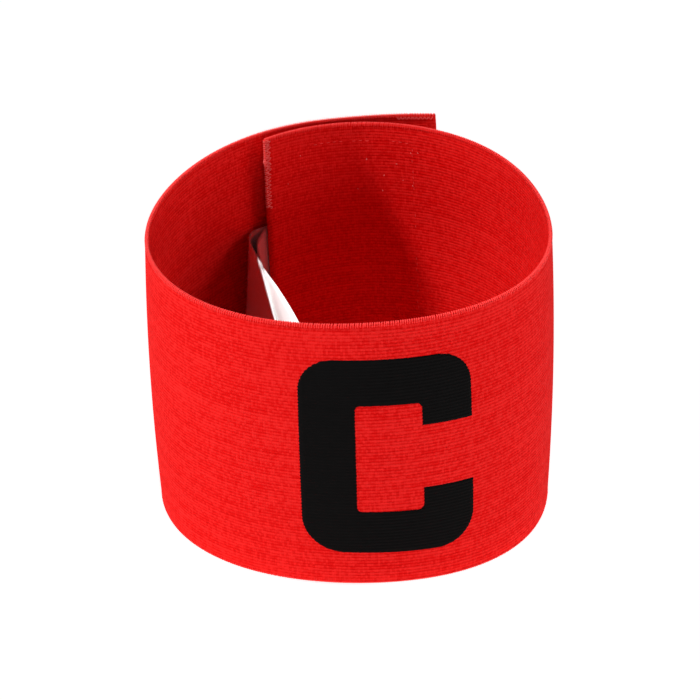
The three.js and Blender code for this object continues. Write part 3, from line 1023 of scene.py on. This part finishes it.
def thread_material(name):
    # The thread colours hold painted highlight, as set out in THREADS
    colour, roughness, specular = THREADS[name]
    material, tree, shader = node_tree(name)
    graph = Graph(tree)
    where = graph.node("ShaderNodeNewGeometry").outputs["Position"]
    grain = graph.noise(where, scale=3200, detail=2)
    light = tuple(min(1.0, value * THREAD_LIGHT) for value in colour)
    dark = tuple(value * THREAD_DARK for value in colour)
    graph.link(graph.mix(grain, (*dark, 1), (*light, 1)), shader.inputs["Base Color"])
    graph.link(graph.bump(grain, distance=0.00005), shader.inputs["Normal"])
    shader.inputs["Roughness"].default_value = roughness
    shader.inputs["Specular IOR Level"].default_value = specular
    return material


def print_material():
    """Black flock ink on the ribs."""
    material, tree, shader = node_tree("print_black")
    graph = Graph(tree)
    along, up = graph.strip()
    ribs = graph.wave(up, RIB_PITCH)
    ticks = graph.wave(along, TICK_PITCH)
    patterns = {
        "ribs": ribs,
        "crossings": graph.math("MULTIPLY", ribs, ticks),
        "cloud": graph.noise(graph.vector(along, up), scale=400, detail=3),
        "grain": graph.noise(graph.vector(along, up), scale=3000, detail=2),
    }
    share = graph.weighted(patterns, {"cloud": 0.5, "grain": 0.5})
    graph.link(graph.mix(share, INK_DARK, INK_LIGHT), shader.inputs["Base Color"])
    relief = graph.weighted(patterns, {"ribs": 1.0, "crossings": 0.3, "grain": 0.4})
    graph.link(graph.bump(relief, distance=0.00004), shader.inputs["Normal"])
    shader.inputs["Roughness"].default_value = 0.8
    shader.inputs["Specular IOR Level"].default_value = 0.06
    return material


def label_material():
    """White satin ribbon with a fine weave."""
    material, tree, shader = node_tree("label_satin")
    graph = Graph(tree)
    along, up = graph.strip()
    crossings = graph.math("MULTIPLY", graph.wave(up, RIBBON_WARP), graph.wave(along, RIBBON_WEFT))
    cloud = graph.noise(graph.vector(along, up), scale=220, detail=2)
    graph.link(graph.mix(cloud, RIBBON_DARK, RIBBON_LIGHT), shader.inputs["Base Color"])
    graph.link(graph.bump(crossings, distance=0.00003), shader.inputs["Normal"])
    shader.inputs["Roughness"].default_value = 0.42
    shader.inputs["Specular IOR Level"].default_value = 0.35
    return material


def floor_material():
    """White paper that is lit through to pure white, apart from a faint shade under the band."""
    material, tree, shader = node_tree("floor_white")
    graph = Graph(tree)
    where = graph.node("ShaderNodeNewGeometry").outputs["Position"]
    cloud = graph.noise(where, scale=3, detail=2)
    graph.link(graph.mix(cloud, FLOOR_DARK, FLOOR_LIGHT), shader.inputs["Base Color"])
    stretched = graph.node("ShaderNodeVectorMath", operation="MULTIPLY")
    graph.link(where, stretched.inputs[0])
    stretched.inputs[1].default_value = (FLOOR_SHADE_STRETCH, 1, 1)
    away = graph.node("ShaderNodeVectorMath", operation="LENGTH")
    graph.link(stretched.outputs[0], away.inputs[0])
    glow = graph.node("ShaderNodeMapRange", interpolation_type="SMOOTHSTEP")
    graph.link(away.outputs["Value"], glow.inputs["Value"])
    glow.inputs["From Min"].default_value = FLOOR_SHADE_RADIUS
    glow.inputs["From Max"].default_value = FLOOR_GLOW_RADIUS
    glow.inputs["To Min"].default_value = FLOOR_SHADE
    glow.inputs["To Max"].default_value = FLOOR_GLOW
    shader.inputs["Emission Color"].default_value = WHITE
    graph.link(glow.outputs["Result"], shader.inputs["Emission Strength"])
    shader.inputs["Roughness"].default_value = 0.9
    shader.inputs["Specular IOR Level"].default_value = 0.1
    return material


def make_floor():
    half = FLOOR_SIZE / 2
    corners = [(-half, -half, 0), (half, -half, 0), (half, half, 0), (-half, half, 0)]
    floor = make_piece("floor", corners, [(0, 1, 2, 3)], floor_material(), smooth=False)


def make_camera():
    lens = bpy.data.cameras.new("camera")
    lens.sensor_width = SENSOR_WIDTH
    lens.lens = CAMERA_FOCAL_PIXELS / PICTURE_SIZE * SENSOR_WIDTH
    lens.clip_start = CAMERA_NEAREST
    lens.clip_end = CAMERA_FURTHEST
    camera = bpy.data.objects.new("camera", lens)
    bpy.context.scene.collection.objects.link(camera)
    rise = math.radians(CAMERA_ELEVATION)
    camera.location = CAMERA_FOCUS + CAMERA_DISTANCE * Vector((0, -math.cos(rise), math.sin(rise)))
    camera.rotation_euler = (math.pi / 2 - rise, 0, 0)
    bpy.context.scene.camera = camera


def studio_light(name, azimuth, elevation, size, share, lit):
    """Soft disk that faces the band, with the share of full white that it gives a facing sheet.
    The azimuth counts from the front, towards the right, and both angles are in degrees. The
    light falls on one collection alone."""
    turn, rise = math.radians(azimuth), math.radians(elevation)
    level = math.cos(rise)
    aim = Vector((math.sin(turn) * level, -math.cos(turn) * level, math.sin(rise)))
    light = bpy.data.lights.new(name, "AREA")
    light.shape = "DISK"
    light.size = size
    light.energy = share * 4 * math.pi * LIGHT_DISTANCE**2
    lamp = bpy.data.objects.new(name, light)
    bpy.context.scene.collection.objects.link(lamp)
    lamp.location = Vector((0, 0, BAND_WIDTH / 2)) + aim * LIGHT_DISTANCE
    lamp.rotation_euler = aim.to_track_quat("Z", "Y").to_euler()
    lamp.light_linking.receiver_collection = lit


def collection_of(name, pieces):
    made = bpy.data.collections.new(name)
    for piece in pieces:
        made.objects.link(piece)
    return made


def make_light(cloth, ribbon, threads):
    world = bpy.data.worlds.new("studio")
    world.use_nodes = True
    background = world.node_tree.nodes["Background"]
    background.inputs["Color"].default_value = WHITE
    background.inputs["Strength"].default_value = WORLD_LIGHT
    bpy.context.scene.world = world
    groups = [("lit_cloth", cloth + threads, STUDIO_LIGHTS),
              ("lit_label", [ribbon], LABEL_LIGHTS),
              ("lit_trim", threads, TRIM_LIGHTS)]
    for name, pieces, lights in groups:
        lit = collection_of(name, pieces)
        for light in lights:
            studio_light(*light, lit)
    bpy.context.scene.view_settings.view_transform = "Standard"


red = elastic_material()
# The edge thread's light colour is painted highlight on the rim's crest
edge_thread_highlight = thread_material("thread_edge_highlight")
sewing_thread = thread_material("thread_sewing")
band = make_band(red)
loops_top = make_edge_loops("edge_loops_top", False, edge_thread_highlight)
loops_foot = make_edge_loops("edge_loops_foot", True, edge_thread_highlight)
end_seams = make_end_seams(sewing_thread)
patch_seams = make_patch_seams(thread_material("thread_patch"))
flecks = make_flecks(thread_material("thread_fibre"))
letter = make_print(print_material())
label = make_label(label_material())
fastener = make_fastener(thread_material("pile_red"))

trim = [loops_top, loops_foot, end_seams, patch_seams, flecks]
for piece in [band] + trim:
    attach(piece, "root")
for piece, slot in ((letter, "print"), (label, "label_ribbon"), (fastener, "fastener_pile")):
    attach(piece, "root")

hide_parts("band")
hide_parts("letter_c")
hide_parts("label")
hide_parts("fastener")

make_floor()
make_camera()
make_light([band, letter, fastener], label, trim)
